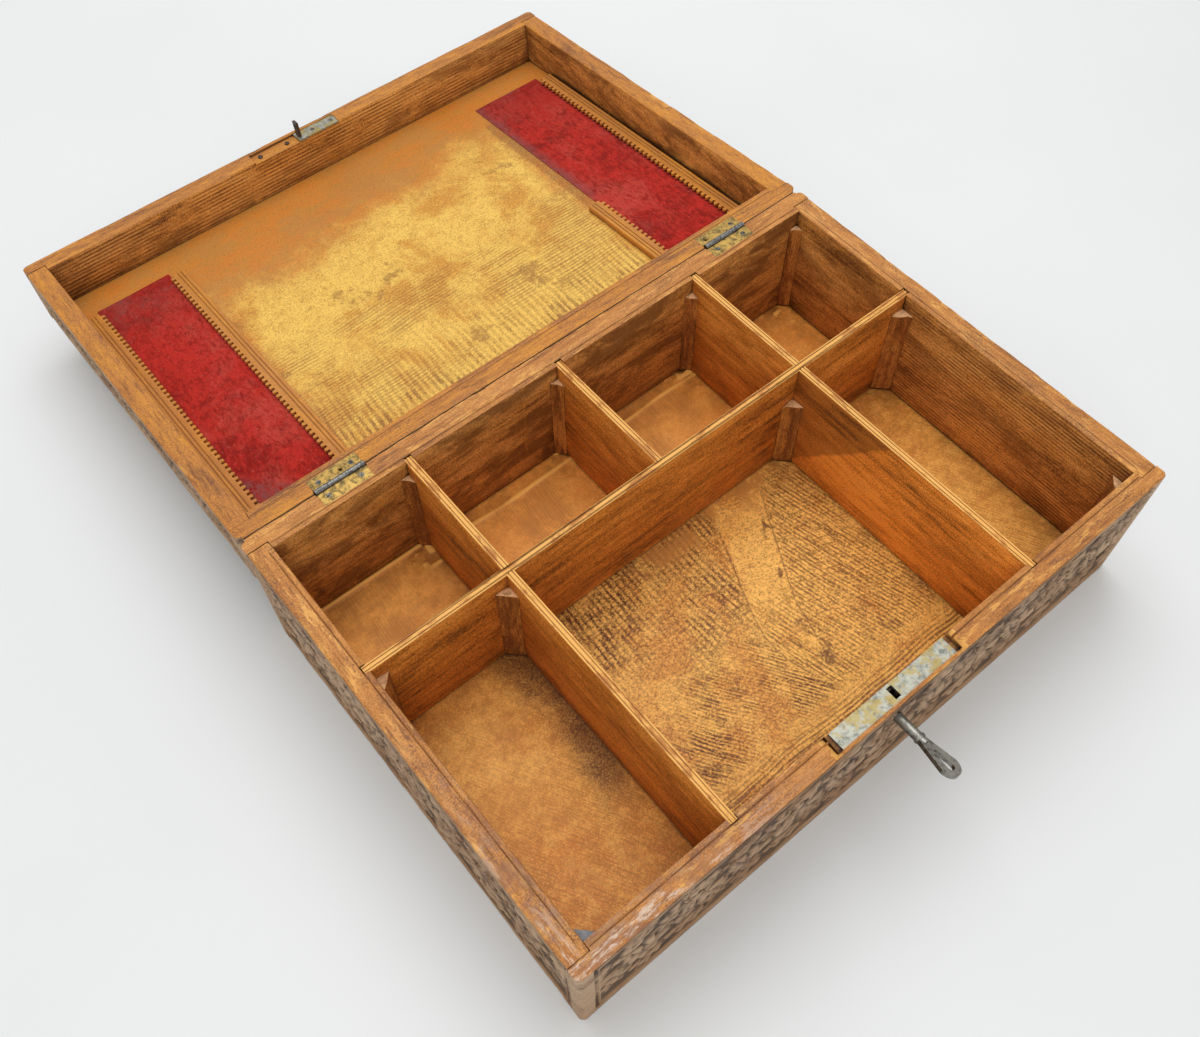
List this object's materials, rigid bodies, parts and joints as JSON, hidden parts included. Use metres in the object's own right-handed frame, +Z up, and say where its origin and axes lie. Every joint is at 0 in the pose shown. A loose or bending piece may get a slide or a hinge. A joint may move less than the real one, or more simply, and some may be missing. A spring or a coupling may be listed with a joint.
{
  "type": "storage box",
  "caption": "Wooden storage box with divided cells, a shallow tray lid folded back on butt hinges, toothed strips, velvet pads and a key lock.",
  "frame": {"origin": "middle of the underside of the base", "axes": "+X along the length to the right, +Y from the front with the key to the hinges, +Z up"},
  "size_m": [0.38, 0.5635, 0.0927],
  "materials": {
    "box_wood": "old oiled hardwood, weathered grey-brown on the carved outside",
    "divider_wood": "dark rubbed stain",
    "block_wood": "raw, stained on its face",
    "floor_wood": "worn and rubbed",
    "panel_wood": "worn stain with brush streaks",
    "strip_wood": "dark stain",
    "red_velvet": "worn crimson velvet",
    "hinge_brass": "tarnished",
    "lock_plate_steel": "mottled, yellowed",
    "screw_steel": "dull",
    "iron": "dark",
    "key_steel": "polished by use"
  },
  "bodies": {
    "base": {"back_divider_left": "divider_wood", "back_divider_middle": "divider_wood", "back_divider_right": "divider_wood", "base_back_board": "box_wood", "base_bottom_board": "floor_wood", "base_front_board": "box_wood", "base_left_board": "box_wood", "base_right_board": "box_wood", "front_divider_left": "divider_wood", "front_divider_right": "divider_wood", "glue_block_back_1": "block_wood", "glue_block_back_2": "block_wood", "glue_block_back_3": "block_wood", "glue_block_back_4": "block_wood", "glue_block_front_1": "block_wood", "glue_block_front_2": "block_wood", "glue_block_front_3": "block_wood", "glue_block_front_4": "block_wood", "glue_block_front_5": "block_wood", "glue_block_front_6": "block_wood", "hinge_base_screws": "screw_steel", "hinge_left_base_leaf": "hinge_brass", "hinge_left_pin": "iron", "hinge_right_base_leaf": "hinge_brass", "hinge_right_pin": "iron", "lock_bolt_spring": "iron", "lock_case": "iron", "lock_drill_pin": "iron", "lock_plate": "lock_plate_steel", "lock_screws": "screw_steel", "long_divider": "divider_wood"},
    "lid": {"catch_link": "iron", "catch_old_screws": "screw_steel", "catch_plate": "lock_plate_steel", "catch_screws": "screw_steel", "hinge_left_lid_leaf": "hinge_brass", "hinge_lid_screws": "screw_steel", "hinge_right_lid_leaf": "hinge_brass", "lid_back_board": "box_wood", "lid_front_board": "box_wood", "lid_left_board": "box_wood", "lid_panel": "panel_wood", "lid_right_board": "box_wood", "strip_left_inner": "strip_wood", "strip_left_outer": "strip_wood", "strip_right_inner": "strip_wood", "strip_right_outer": "strip_wood", "velvet_pad_left": "red_velvet", "velvet_pad_right": "red_velvet"},
    "lock_bolt": {"lock_bolt": "iron"},
    "key": {"key": "key_steel"}
  },
  "joints": [
    {"name": "lid_hinge", "type": "hinge", "parent": "base", "child": "lid", "pos_m": [0, 0.13275, 0.09115], "axis": [1, 0, 0], "range_deg": [0, 185]},
    {"name": "key_turn", "type": "hinge", "parent": "base", "child": "key", "pos_m": [-0.0015, -0.131, 0.0734], "axis": [0, -1, 0], "range_deg": [-62, 298]},
    {"name": "bolt_slide", "type": "slide", "parent": "base", "child": "lock_bolt", "axis": [-1, 0, 0], "range_m": [-0.00103, 0.00497]}
  ],
  "couplings": [
    {"joint": "bolt_slide", "follows": "key_turn", "m_per_rad": 0.00095493}
  ]
}
